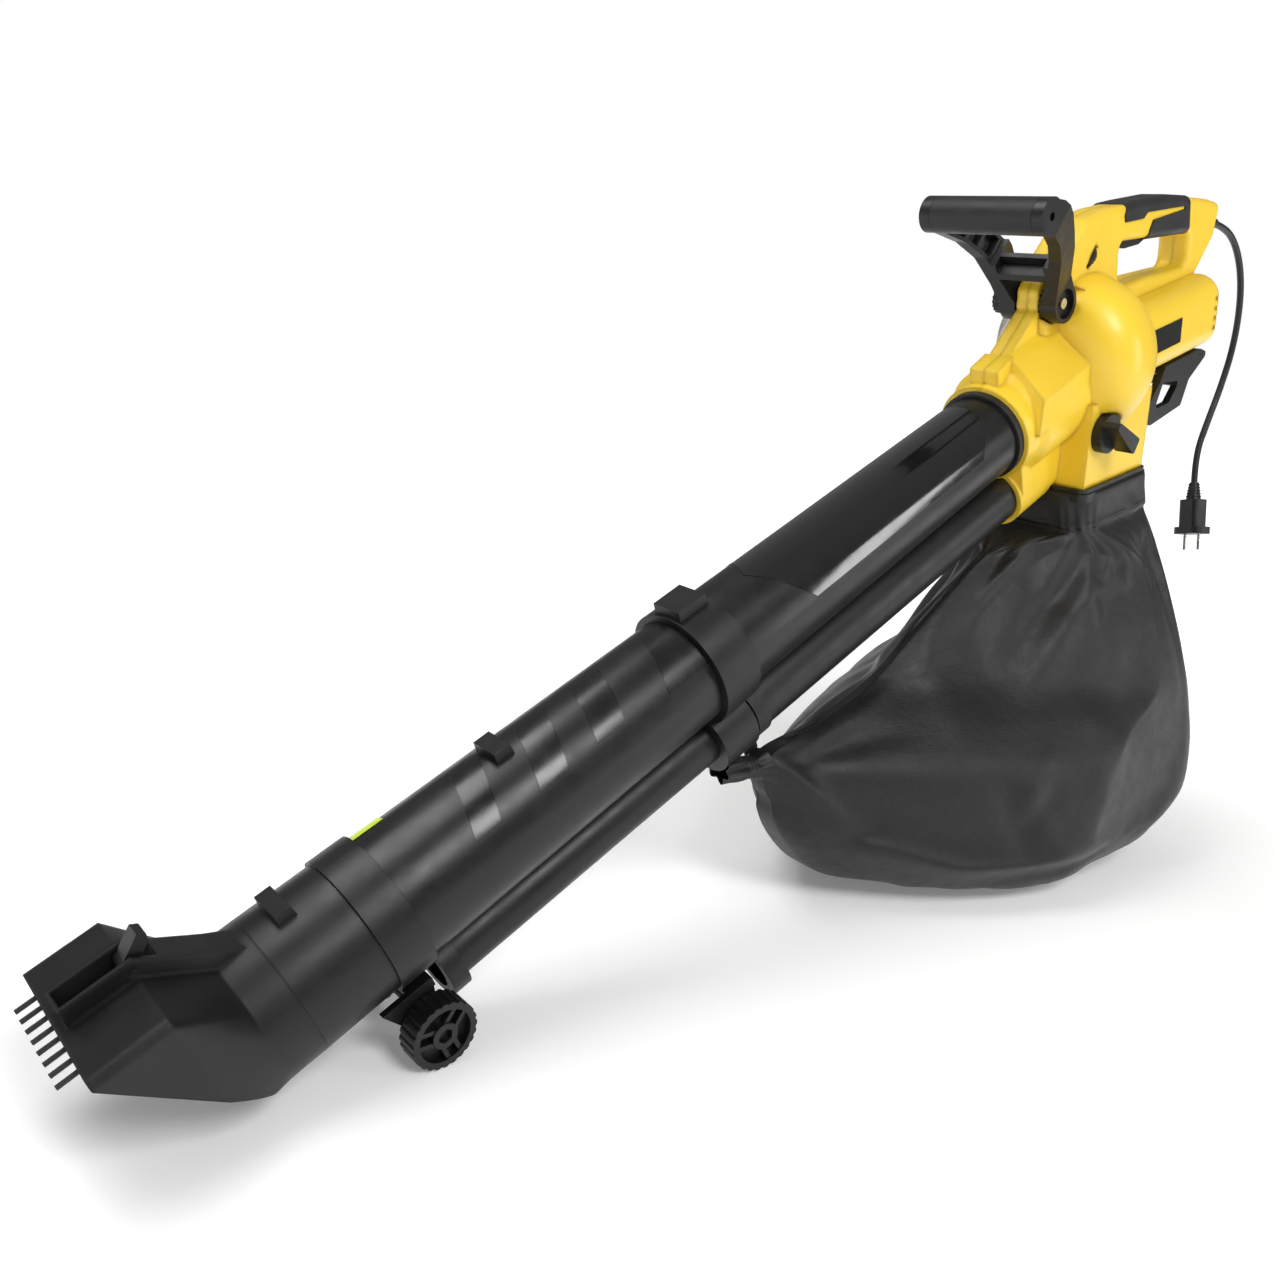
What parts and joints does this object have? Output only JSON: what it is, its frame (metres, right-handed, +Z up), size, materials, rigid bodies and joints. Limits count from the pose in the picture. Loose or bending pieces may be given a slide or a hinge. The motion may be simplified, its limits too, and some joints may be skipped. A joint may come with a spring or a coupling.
{
  "type": "leaf blower",
  "caption": "Corded garden blower and vacuum with a long suction tube, wheeled raking nozzle, blow tube, fan housing, two handles and a cloth collecting bag.",
  "frame": {"origin": "centre of the bounding box on the floor, without the mains lead", "axes": "+X from the nozzle to the motor, +Z up, +Y to the machine's left"},
  "size_m": [1.2821, 0.322, 0.6563],
  "materials": {
    "yellow_plastic": "satin moulded",
    "black_plastic": "fine moulded grain",
    "dark_plastic": "moulded",
    "wheel_plastic": "moulded",
    "rubber": "soft matt",
    "steel": "bright zinc",
    "pin_metal": "plated",
    "clear_plastic": "clear",
    "plate_plastic": "glossy film",
    "aluminium": "die cast",
    "laminations": "varnished steel sheets",
    "copper": "bare copper",
    "board": "lacquered",
    "bag_fabric": "woven nylon"
  },
  "bodies": {
    "machine": {"suction_tube_lower": "black_plastic", "suction_tube_upper": "black_plastic", "nozzle_neck": "black_plastic", "lower_collar": "black_plastic", "tube_coupling": "black_plastic", "tube_latch": "black_plastic", "blow_tube_lower": "black_plastic", "blow_tube_upper": "black_plastic", "nozzle_hood": "black_plastic", "rake_pin": "steel", "wheel_fork": "black_plastic", "wheel_axle": "steel", "axle_clips": "steel", "housing_left": "yellow_plastic", "housing_right": "yellow_plastic", "housing_screws": "steel", "clear_window": "clear_plastic", "tube_seal": "rubber", "rear_grille": "yellow_plastic", "rating_plate": "plate_plastic", "motor_plate": "aluminium", "front_bearing": "steel", "rear_bearing": "steel", "motor_bracket": "aluminium", "stator": "laminations", "brush_holders": "dark_plastic", "soft_grip": "rubber", "power_switch": "black_plastic", "speed_board": "board", "ratchet_washers": "black_plastic", "pivot_bolt": "steel", "outlet_flange": "black_plastic", "bag_frame": "black_plastic", "rear_bracket": "black_plastic", "strain_relief": "rubber", "bag_strap": "bag_fabric", "bag": "bag_fabric", "mains_cord": "rubber", "plug": "black_plastic", "plug_pins": "pin_metal"},
    "front_handle": {"front_handle": "black_plastic", "bar_sleeve": "rubber"},
    "clamp_knob": {"clamp_knob": "black_plastic"},
    "trigger": {"trigger": "black_plastic"},
    "speed_dial": {"speed_dial": "black_plastic"},
    "changeover": {"changeover_flap": "dark_plastic", "mode_lever": "black_plastic"},
    "rotor": {"impeller": "dark_plastic", "fan_nut": "steel", "motor_shaft": "steel", "armature": "laminations", "commutator": "copper"},
    "rake_lever": {"rake_lever": "black_plastic"},
    "rake_comb": {"rake_comb": "dark_plastic"},
    "wheel_left": {"wheel_left": "wheel_plastic"},
    "wheel_right": {"wheel_right": "wheel_plastic"}
  },
  "joints": [
    {"name": "wheel_left_spin", "type": "hinge", "parent": "machine", "child": "wheel_left", "pos_m": [-0.33837, 0.0495, 0.0236], "axis": [0, 1, 0], "continuous": true},
    {"name": "wheel_right_spin", "type": "hinge", "parent": "machine", "child": "wheel_right", "pos_m": [-0.33837, -0.0335, 0.0236], "axis": [0, 1, 0], "continuous": true},
    {"name": "rake_lever_turn", "type": "hinge", "parent": "machine", "child": "rake_lever", "pos_m": [-0.51545, 0.008, 0.10658], "axis": [0, -1, 0], "range_deg": [0, 45]},
    {"name": "rake_comb_slide", "type": "slide", "parent": "machine", "child": "rake_comb", "axis": [0.8829, 0, 0.4695], "range_m": [0, 0.0088]},
    {"name": "front_handle_swing", "type": "hinge", "parent": "machine", "child": "front_handle", "pos_m": [0.27026, 0.008, 0.52888], "axis": [0, 1, 0], "range_deg": [-45, 22]},
    {"name": "clamp_knob_turn", "type": "hinge", "parent": "machine", "child": "clamp_knob", "pos_m": [0.27026, 0.041, 0.52888], "axis": [0, 1, 0], "range_deg": [-180, 180]},
    {"name": "trigger_press", "type": "hinge", "parent": "machine", "child": "trigger", "pos_m": [0.42519, 0.008, 0.61239], "axis": [0, 1, 0], "range_deg": [0, 5], "stiffness_Nm_per_rad": 0.5, "springref_deg": -5.73},
    {"name": "speed_dial_turn", "type": "hinge", "parent": "machine", "child": "speed_dial", "pos_m": [0.31879, 0, 0.57393], "axis": [0.9272, 0, -0.3746], "range_deg": [0, 270]},
    {"name": "changeover_turn", "type": "hinge", "parent": "machine", "child": "changeover", "pos_m": [0.3293, 0.008, 0.4221], "axis": [0, -1, 0], "range_deg": [0, 35]},
    {"name": "rotor_spin", "type": "hinge", "parent": "machine", "child": "rotor", "pos_m": [0.33585, 0.008, 0.48221], "axis": [0.9511, 0, 0.309], "continuous": true}
  ],
  "couplings": [
    {"joint": "rake_lever_turn", "follows": "rake_comb_slide", "rad_per_m": 88.5}
  ]
}
